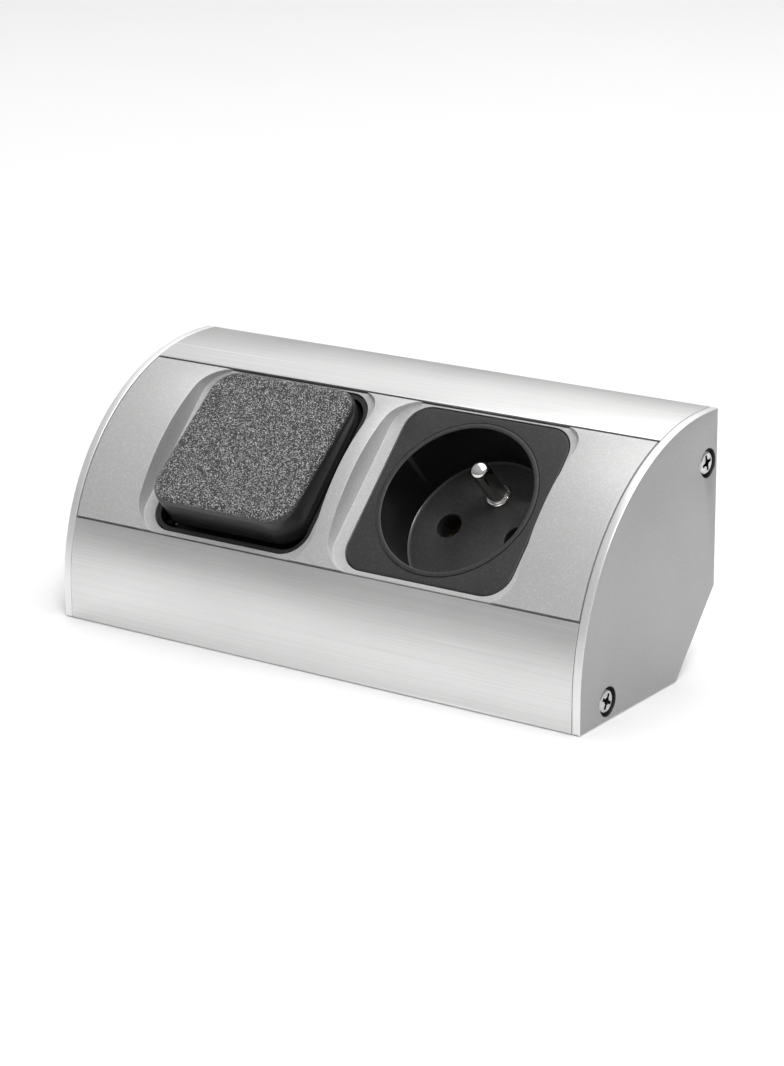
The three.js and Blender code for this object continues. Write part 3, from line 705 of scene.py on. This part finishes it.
capSetup = {
    "thickness": 2.1,
    "edge": 0.22,
    "corner": 0.5,
    "boreRadius": 2.1,
    "counterbore": 3.5,
    "counterDepth": 1.2,
    "countersink": 0.14,
    "portIn": (4.2, 49.7),  # upper screw: from the back face, and above the base
    "portLow": (47.6, 4.5),
}
capPorts = {
    "upper": Vector((bodyHigh.y - capSetup["portIn"][0], capSetup["portIn"][1], 0)),
    "lower": Vector((bodyHigh.y - capSetup["portLow"][0], capSetup["portLow"][1], 0)),
}


def endCap(name, node, side, setup):
    bm = bmesh.new()
    outer = cadBox[1].x / mm
    inner = outer - setup["thickness"]
    face = sectionFace(bm, inner)
    pull(bm, [face], setup["thickness"])
    bmesh.ops.recalc_face_normals(bm, faces=bm.faces)
    soften(bm, sharpEdges(bm, 20), setup["edge"], 4)
    topFace = facing(bm, (0, 0, 1), outer)
    backFace = facing(bm, (0, 0, -1), -inner)
    rims, bores = [], []
    for port in capPorts.values():
        rims.append(circle(bm, port + Vector((0, 0, outer)), setup["counterbore"] + setup["countersink"], 56))
        bores.append(circle(bm, port + Vector((0, 0, inner)), setup["boreRadius"], 56))
    openFace(bm, topFace, rims)
    openFace(bm, backFace, bores)
    seat = outer - setup["counterDepth"]
    for rim, port in zip(rims, capPorts.values()):
        sweep(bm, rim, port, [
            (setup["counterbore"] + 0.04, outer - 0.05),
            (setup["counterbore"], outer - setup["countersink"]),
            (setup["counterbore"], seat),
            (setup["boreRadius"], seat),
            (setup["boreRadius"], inner),
        ])
    place = Matrix.Scale(side, 4, (1, 0, 0)) @ acrossUnit
    piece = makePiece(name, bm, place, looks["cap_aluminium"], "housing", [node])

    def below(point, least, most):
        near = min((point.xy - port.xy).length for port in capPorts.values())
        return 1.0 if point.z < outer - 0.01 and least < near < most else 0.0

    # one value is 1 on the rim round the face, where the painted highlight goes, the other is 1 in the screw
    # holes, where painted shade goes
    counterbore = setup["counterbore"]
    vertexValue(piece, "rim", place, lambda point: below(point, counterbore + 0.5, math.inf))
    vertexValue(piece, "bore", place, lambda point: below(point, -1, counterbore + 0.02))


endCap("endCapRight", "end_cap_right", 1, capSetup)
endCap("endCapLeft", "end_cap_left", -1, capSetup)

# cap screws: pan heads with a cross recess

screwSetup = {
    "head": 3.0,
    "flat": 2.15,  # radius of the flat that holds the recess
    "rise": 0.9,
    "arm": 1.95,
    "armHalf": 0.42,
    "core": 0.75,
    "recess": 1.1,
    "taper": 0.5,
    "recessLip": (0.94, 0.08),  # share of the outline, and how far down
    "turn": {"upper": 18, "lower": 62},  # degrees
    "shank": 1.7,
    "shankEnd": -9.0,
    "tip": -10.0,
    "headProfile": ((0.80, 0.83), (0.88, 0.70), (0.95, 0.50), (0.99, 0.27), (1.0, 0.12), (1.0, 0.0)),
}


def capScrew(name, node, side, port, angle, setup):
    bm = bmesh.new()
    flat = circle(bm, (0, 0, setup["rise"]), setup["flat"], 48)
    corners = []
    for quarter in range(4):
        turn = Matrix.Rotation(math.radians(90 * quarter), 2)
        arm, half, core = setup["arm"], setup["armHalf"], setup["core"]
        for point in ((arm, -half), (arm, half), (core, half), (core, core), (half, core)):
            corners.append(turn @ Vector(point))
    cross = [bm.verts.new((point.x, point.y, setup["rise"])) for point in corners]
    loop = [bm.edges.new((a, b)) for a, b in zip(cross, cross[1:] + cross[:1])]
    bmesh.ops.triangle_fill(bm, edges=flat + loop, use_beauty=True, use_dissolve=False)
    for share, depth in (setup["recessLip"], (setup["taper"], setup["recess"])):
        made = newVerts(bmesh.ops.extrude_edge_only(bm, edges=loop)["geom"])
        for vert in made:
            wall = Vector((vert.co.x, vert.co.y, 0))
            vert.co = wall * share + Vector((0, 0, setup["rise"] - depth))
        loop = edgesOf(made)
    bmesh.ops.edgeloop_fill(bm, edges=loop)
    head = [(setup["head"] * share, level) for share, level in setup["headProfile"]]
    end = sweep(bm, flat, (0, 0, 0), head + [
        (setup["shank"], 0.0),
        (setup["shank"], setup["shankEnd"]),
        (0.5, setup["tip"]),
    ])
    bmesh.ops.edgeloop_fill(bm, edges=end)
    seat = cadBox[1].x / mm - capSetup["counterDepth"]
    place = (
        Matrix.Scale(side, 4, (1, 0, 0)) @ acrossUnit
        @ Matrix.Translation((port.x, port.y, seat)) @ Matrix.Rotation(math.radians(angle), 4, "Z")
    )
    piece = makePiece(name, bm, place, looks["screw"], "housing", [node], 28)

    # 1 in the cross recess, which is painted near black as painted shade
    def recessPaintedShade(point):
        sunk = -0.5 < point.z < setup["rise"] - 0.05
        return 1.0 if sunk and point.xy.length < setup["arm"] + 0.05 else 0.0

    vertexValue(piece, "recessPaintedShade", place, recessPaintedShade)


for side, sideName in ((-1, "left"), (1, "right")):
    for level, port in capPorts.items():
        name = "capScrew" + sideName.title() + level.title()
        angle = screwSetup["turn"][level]
        capScrew(name, f"cap_screw_{sideName}_{level}", side, port, angle, screwSetup)

# panel: a curved plate with two flat-bottomed pockets

panelSetup = {
    "pocketWidth": 52.8,
    "pocketRadius": 7.9,
    "landThickness": 1.8,
    "holeWidth": 46.1,
    "holeHeight": 45.4,
    "holeRadius": 6.55,
    "cornerSteps": 12,
    "middleSteps": 24,
    "edge": 0.14,
}


# the rows of the panel's grid: up-slope levels, finer where the pockets' corners turn
def panelRows(setup):
    straight = chordHalf - setup["pocketRadius"]
    reach = math.asin((panelEdge - straight) / setup["pocketRadius"])
    turn = [reach * step / setup["cornerSteps"] for step in range(1, setup["cornerSteps"] + 1)]
    corner = [straight + setup["pocketRadius"] * math.sin(angle) for angle in turn]
    middle = [straight * (2 * step / setup["middleSteps"] - 1) for step in range(setup["middleSteps"] + 1)]
    return [-y for y in reversed(corner)] + middle + corner


# how far a pocket reaches each side of its middle, at a level up the slope
def pocketReach(setup, y):
    past = max(0.0, abs(y) - (chordHalf - setup["pocketRadius"]))
    inward = setup["pocketRadius"] - math.sqrt(max(0.0, setup["pocketRadius"] ** 2 - past ** 2))
    return setup["pocketWidth"] / 2 - inward


def midPanel(setup):
    bm = bmesh.new()
    rows = panelRows(setup)
    bmesh.ops.create_grid(bm, x_segments=5, y_segments=len(rows) - 1, size=0.5)
    grid = sorted(bm.verts, key=lambda v: (round(v.co.y, 5), v.co.x))
    for number, vert in enumerate(grid):
        y = rows[number // 6]
        reach = pocketReach(setup, y)
        columns = [panelLow.x]
        for middle in (modules["switch"], modules["socket"]):
            columns += [middle - reach, middle + reach]
        columns.append(panelHigh.x)
        vert.co = (columns[number % 6], y, arcLevel(y))
    bm.normal_update()
    border = [e for e in bm.edges if e.is_boundary]
    pockets = [f for f in bm.faces if abs(abs(f.calc_center_median().x) - modules["socket"]) < 10]
    made = bmesh.ops.extrude_face_region(bm, geom=pockets)["geom"]
    for vert in newVerts(made):
        vert.co.z = landLevel
    bm.normal_update()
    sides = [
        f for f in bm.faces
        if abs(f.normal.y) > 0.99 and abs(f.calc_center_median().y) > panelEdge - 0.01
    ]
    bmesh.ops.delete(bm, geom=[f for f in pockets if f.is_valid] + sides, context="FACES")
    floor = [f for f in bm.faces if max(v.co.z for v in f.verts) < landLevel + 0.001]
    bmesh.ops.dissolve_faces(bm, faces=floor, use_verts=False)
    # the outer rim goes down to the land's level, and from there to the underside
    rim = [e for e in bm.edges if e.is_boundary and max(v.co.z for v in e.verts) > landLevel + 0.01]
    rim = [
        e for e in rim
        if abs(e.verts[0].co.z - e.verts[1].co.z) < 0.6 or abs(e.verts[0].co.x) > panelHigh.x - 0.01
    ]
    for vert in newVerts(bmesh.ops.extrude_edge_only(bm, edges=rim)["geom"]):
        vert.co.z = landLevel
    bmesh.ops.remove_doubles(bm, verts=bm.verts, dist=0.001)
    rim = [e for e in bm.edges if e.is_boundary]
    under = landLevel - setup["landThickness"]
    made = newVerts(bmesh.ops.extrude_edge_only(bm, edges=rim)["geom"])
    for vert in made:
        vert.co.z = under
    bmesh.ops.edgeloop_fill(bm, edges=edgesOf(made))
    bmesh.ops.recalc_face_normals(bm, faces=bm.faces)
    soften(bm, sharpEdges(bm, 35), setup["edge"], 3)
    punchPanel(bm, setup, under)
    makePiece("midPanel", bm, onSlope(), looks["panel_plastic"], "housing", ["mid_panel"])


# the two openings that hold the modules
def punchPanel(bm, setup, under):
    bm.normal_update()
    floors = [f for f in bm.faces if f.normal.z > 0.999 and f.calc_area() > 1000]
    below = facing(bm, (0, 0, -1), -under)
    lower = []
    for floor in floors:
        middle = modules["socket"] if floor.calc_center_median().x > 0 else modules["switch"]
        upper = roundedLoop(bm, setup, middle, landLevel)
        openFace(bm, floor, [upper])
        lip = newVerts(bmesh.ops.extrude_edge_only(bm, edges=upper)["geom"])
        for vert in lip:
            vert.co.z = under
        lower.append(edgesOf(lip))
    openFace(bm, below, lower)


def roundedLoop(bm, setup, middle, level):
    centre = (middle, modules["shift"])
    face = roundedFace(bm, centre, setup["holeWidth"], setup["holeHeight"], setup["holeRadius"], 10, level)
    loop = list(face.edges)
    bmesh.ops.delete(bm, geom=[face], context="FACES_ONLY")
    return loop


midPanel(panelSetup)

# socket insert: a plate with a deep round recess, two contact holes and the earth pin

socketSetup = {
    "width": 45.6,
    "tall": 44.9,
    "corner": 6.3,
    "plate": 2.4,
    "edge": 0.45,
    "recess": 19.3,
    "depth": 15.2,
    "floor": 2.0,
    "ring": 20.75,
    "contact": 3.1,
    "pitch": 9.5,
    "pinUp": 10.0,
    "pinHole": 2.7,
    # the raised ring round the recess: in from its outside, or out from the recess, and the level
    "ringOutside": ((0.04, -0.14), (0.16, -0.18), (0.22, -0.06), (0.26, 0.10), (0.34, 0.16)),
    "ringInside": ((0.26, 0.16), (0.10, 0.10), (0.03, 0.04), (0.0, -0.20)),
    "foot": ((0.0, 0.7), (0.12, 0.3), (0.5, 0.05), (0.9, 0.0)),  # in from the side, and up
    "holeLip": ((0.2, 0.03), (0.05, 0.16), (0.0, 0.32)),  # out from a hole, and down
    "mouth": 0.28,  # outer edge of that lip
    "cup": 1.7,  # wall behind the recess
    "steps": 128,
    "holeSteps": 48,
}


def socketInsert(setup):
    bm = bmesh.new()
    roundedBox(bm, setup["width"], setup["tall"], setup["corner"], landLevel - setup["plate"], landLevel, 12)
    bmesh.ops.recalc_face_normals(bm, faces=bm.faces)
    upperEdges = sharpEdges(bm, 60, lambda e: max(v.co.z for v in e.verts) > landLevel - 0.01)
    soften(bm, upperEdges, setup["edge"], 4)
    recess, ring = setup["recess"], setup["ring"]
    bottom = landLevel - setup["depth"]
    below = bottom - setup["floor"]
    cup = recess + setup["cup"]
    upper = circle(bm, (0, 0, landLevel), ring, setup["steps"])
    lower = circle(bm, (0, 0, landLevel - setup["plate"]), cup, setup["steps"])
    openFace(bm, facing(bm, (0, 0, 1), landLevel), [upper])
    openFace(bm, facing(bm, (0, 0, -1), setup["plate"] - landLevel), [lower])
    top = landLevel
    outside = [(ring - inward, top + rise) for inward, rise in setup["ringOutside"]]
    inside = [(recess + out, top + rise) for out, rise in setup["ringInside"]]
    foot = [(recess - inward, bottom + rise) for inward, rise in setup["foot"]]
    rim = sweep(bm, upper, (0, 0, 0), outside + inside + foot)
    back = sweep(bm, lower, (0, 0, 0), [(cup, below)])
    above, under = [], []
    places = [
        (-setup["pitch"], 0, setup["contact"]),
        (setup["pitch"], 0, setup["contact"]),
        (0, setup["pinUp"], setup["pinHole"]),
    ]
    for x, y, radius in places:
        mouth = circle(bm, (x, y, bottom), radius + setup["mouth"], setup["holeSteps"])
        above += mouth
        lip = [(radius + out, bottom - down) for out, down in setup["holeLip"]]
        under += sweep(bm, mouth, (x, y, 0), lip + [(radius, below)])
    bmesh.ops.triangle_fill(bm, edges=rim + above, use_beauty=True, use_dissolve=False)
    bmesh.ops.triangle_fill(bm, edges=back + under, use_beauty=True, use_dissolve=False)
    place = onSlope(modules["socket"], modules["shift"])
    piece = makePiece(
        "socketInsert", bm, place, looks["socket_plastic"], "housing",
        ["socket_front"], 38,
    )

    # 0 on the recess's polished side, which gets painted shade, and 1 elsewhere
    def etchedNotPaintedShade(point):
        onSide = bottom + 0.1 < point.z < top - 0.2 and recess - 0.3 < point.xy.length < recess + 0.03
        return 0.0 if onSide else 1.0

    vertexValue(piece, "etchedNotPaintedShade", place, etchedNotPaintedShade)


socketInsert(socketSetup)

pinSetup = {"radius": 2.4, "length": 13.2, "tail": 11.0, "collar": 3.1, "collarRise": 0.6, "dome": 1.6}


def earthPin(setup, socket):
    bm = bmesh.new()
    floor = landLevel - socket["depth"]
    tip = floor + setup["length"]
    radius = setup["radius"]
    base = circle(bm, (0, 0, floor - setup["tail"]), radius, 56)
    bmesh.ops.edgeloop_fill(bm, edges=base)
    steps = [
        (radius, floor + 0.05),
        (setup["collar"] - 0.12, floor + 0.05),
        (setup["collar"], floor + 0.18),
        (setup["collar"], floor + setup["collarRise"] - 0.18),
        (setup["collar"] - 0.18, floor + setup["collarRise"]),
        (radius + 0.1, floor + setup["collarRise"]),
        (radius, floor + setup["collarRise"] + 0.1),
        (radius, tip - setup["dome"]),
    ]
    for step in range(1, 11):
        angle = math.radians(8.4 * step)
        steps.append((radius * math.cos(angle), tip - setup["dome"] * (1 - math.sin(angle))))
    end = sweep(bm, base, (0, 0, 0), steps)
    bmesh.ops.edgeloop_fill(bm, edges=end)
    place = onSlope(modules["socket"], modules["shift"] + socket["pinUp"])
    makePiece("earthPin", bm, place, looks["nickel"], "housing", ["earth_pin"], 30)


earthPin(pinSetup, socketSetup)

# rocker cap, tilted about its pivot

rockerSetup = {
    "width": 42.8,
    "tall": 40.8,
    "corner": 7.0,
    "edge": 2.1,
    "top": 13.0,  # above the pivot
    "skirt": 3.5,
    "pivot": -7.0,
    "tilt": 6.3,  # degrees, upper edge pressed in
    "wall": 2.0,
    "roof": 3.0,
    "plainBorder": 0.3,  # flat strip just inside the rounded edge
    "grainEnd": 1.2,  # the grain ends this far under the face
    "grainFade": 0.7,
    "cheek": (23.2, 6.8, 14.2),  # inner block that the pivot pin runs through
    "cheekMiddle": 3.9,
    "stemRadius": 3.3,
    "stem": 7.2,
}


def rockerCap(setup):
    bm = bmesh.new()
    roundedBox(bm, setup["width"], setup["tall"], setup["corner"], setup["skirt"], setup["top"], 14)
    bmesh.ops.recalc_face_normals(bm, faces=bm.faces)
    upper = sharpEdges(bm, 60, lambda e: min(v.co.z for v in e.verts) > setup["top"] - 0.01)
    soften(bm, upper, setup["edge"], 10)
    face = facing(bm, (0, 0, 1), setup["top"])
    bmesh.ops.inset_individual(bm, faces=[face], thickness=setup["plainBorder"])
    below = facing(bm, (0, 0, -1), -setup["skirt"])
    bmesh.ops.inset_individual(bm, faces=[below], thickness=setup["wall"])
    made = bmesh.ops.extrude_face_region(bm, geom=[below])["geom"]
    for vert in newVerts(made):
        vert.co.z = setup["top"] - setup["roof"]
    bmesh.ops.delete(bm, geom=[f for f in [below] if f.is_valid], context="FACES")
    cheek = bmesh.ops.create_cube(bm, size=1)["verts"]
    bmesh.ops.scale(bm, verts=cheek, vec=setup["cheek"])
    bmesh.ops.translate(bm, verts=cheek, vec=(0, 0, setup["cheekMiddle"]))
    radius, depth = setup["stemRadius"], setup["stem"]
    stem = bmesh.ops.create_cone(
        bm, cap_ends=True, segments=32, radius1=radius, radius2=radius, depth=depth,
    )["verts"]
    bmesh.ops.translate(bm, verts=stem, vec=(0, 0, -depth / 2))
    tilt = Matrix.Rotation(math.radians(-setup["tilt"]), 4, "X")
    pivot = onSlope(modules["switch"], modules["shift"], setup["pivot"])
    piece = makePiece(
        "rockerCap", bm, pivot @ tilt, looks["rocker_plastic"], "rocker",
        ["rocker"], 40,
    )

    # 1 on the grained face, and 0 on the lower part of the rounded edge and on the sides
    def onFace(point):
        return min(1.0, max(0.0, (point.z - setup["top"] + setup["grainEnd"]) / setup["grainFade"]))

    vertexValue(piece, "onFace", pivot @ tilt, onFace)


rockerCap(rockerSetup)

# cable grommet in the corner cut

grommetSetup = {"bore": 5.5, "flange": 8.5, "wall": 2.0, "proud": 0.9, "groove": 6.9}


def cableGrommet(setup):
    bm = bmesh.new()
    bore, flange, wall, proud = setup["bore"], setup["flange"], setup["wall"], setup["proud"]
    start = circle(bm, (0, 0, 0), bore, 64)
    loop = sweep(bm, start, (0, 0, 0), [
        (bore, proud - 0.3),
        (bore + 0.3, proud),
        (flange - 0.5, proud),
        (flange - 0.1, proud - 0.25),
        (flange, 0.1),
        (setup["groove"], 0.1),
        (setup["groove"], -wall - 0.1),
        (flange, -wall - 0.1),
        (flange - 0.1, -wall - proud + 0.25),
        (flange - 0.5, -wall - proud),
        (bore + 0.3, -wall - proud),
        (bore, -wall - proud + 0.3),
        (bore, 0.0),
    ])
    outward = Vector((0, bodySetup["chamferRise"], -bodySetup["chamferRun"])).normalized()
    inletY = bodyHigh.y - bodySetup["chamferRun"] / 2
    middle = Vector((bodySetup["inletX"], inletY, bodySetup["chamferRise"] / 2))
    place = Matrix.Translation(middle) @ outward.to_track_quat("Z", "Y").to_matrix().to_4x4()
    makePiece("cableGrommet", bm, place, looks["rubber"], "housing", ["cable_grommet"], 30)


cableGrommet(grommetSetup)

# the CAD nodes that stay get the finish of their slot

slotOfNode = {part["node"]: part["material_slot"] for part in frame["record"]["subparts"]}
for name, node in frame["nodes"].items():
    if node.hide_render:
        continue
    look = looks[slotOfNode[name]]
    if not node.material_slots:
        node.data.materials.append(look)
    for held in node.material_slots:
        held.material = look
print("inner parts finished")

# floor and light

studio = {
    "floor": 3.2,
    # brightness of the air: towards -x and +x at the horizon, what -y adds to it, and overhead
    "air": {"left": 0.26, "right": 0.36, "front": -0.06, "overhead": 0.52},
    "lights": [
        # name, place, aimed at, width, height, watts
        ("topSoftbox", (0.15, 0.2, 1.5), (0, 0, 0.03), 2.2, 1.5, 19),
        ("sideKey", (0.75, -0.65, 1.6), (0, 0, 0.03), 0.40, 0.40, 10),
        ("backFill", (-0.9, 1.3, 0.8), (0, 0, 0.03), 1.2, 0.8, 0.7),
        ("farFill", (-2.1, 2.4, 2.0), (-2.1, 2.5, 0), 3.0, 2.2, 10),
    ],
}


# soft surroundings that change slowly with direction
def makeAir(setup):
    world = bpy.data.worlds.new("studioAir")
    world.use_nodes = True
    tree = world.node_tree
    parts = addNode(tree, "ShaderNodeSeparateXYZ")
    tree.links.new(addNode(tree, "ShaderNodeTexCoord").outputs["Generated"], parts.inputs["Vector"])
    across = addNode(tree, "ShaderNodeMapRange", {
        "From Min": -1.0, "To Min": setup["left"], "To Max": setup["right"],
    })
    towards = addNode(tree, "ShaderNodeMapRange", {"From Max": -1.0, "To Max": setup["front"]})
    level = addNode(tree, "ShaderNodeMath", operation="ADD")
    mix = addNode(tree, "ShaderNodeMix", data_type="FLOAT")
    mix.inputs["B"].default_value = setup["overhead"]
    tree.links.new(parts.outputs["X"], across.inputs["Value"])
    tree.links.new(parts.outputs["Y"], towards.inputs["Value"])
    tree.links.new(parts.outputs["Z"], mix.inputs["Factor"])
    tree.links.new(across.outputs["Result"], level.inputs[0])
    tree.links.new(towards.outputs["Result"], level.inputs[1])
    tree.links.new(level.outputs["Value"], mix.inputs["A"])
    tree.links.new(mix.outputs["Result"], tree.nodes["Background"].inputs["Strength"])
    tree.nodes["Background"].inputs["Color"].default_value = (1, 1, 1, 1)
    return world


def makeStudio(setup):
    bm = bmesh.new()
    bmesh.ops.create_grid(bm, x_segments=1, y_segments=1, size=setup["floor"])
    mesh = bpy.data.meshes.new("floor")
    bm.to_mesh(mesh)
    bm.free()
    finish = Finish("floorPaper", Specular_IOR_Level=0.2)
    tone = finish.group(driftGroup, {"Scale": 3.0})
    finish.colour(finish.blend(tone.outputs["Value"], grey(0.90), grey(0.92)))
    rough = finish.group(driftGroup, {"Scale": 400.0, "Low": 0.75, "High": 0.85})
    finish.roughness(rough.outputs["Value"])
    mesh.materials.append(finish.material)
    floor = bpy.data.objects.new("floor", mesh)
    floor.location.z = cadBox[0].z - 0.0002
    scene.collection.objects.link(floor)
    scene.world = makeAir(setup["air"])
    for name, place, aim, width, tall, watts in setup["lights"]:
        data = bpy.data.lights.new(name, "AREA")
        data.shape = "RECTANGLE"
        data.size = width
        data.size_y = tall
        data.energy = watts
        lamp = bpy.data.objects.new(name, data)
        lamp.location = place
        lamp.rotation_euler = (Vector(aim) - Vector(place)).to_track_quat("-Z", "Y").to_euler()
        scene.collection.objects.link(lamp)
    scene.view_settings.view_transform = "Standard"
    scene.view_settings.look = "None"


makeStudio(studio)
print("studio lit")
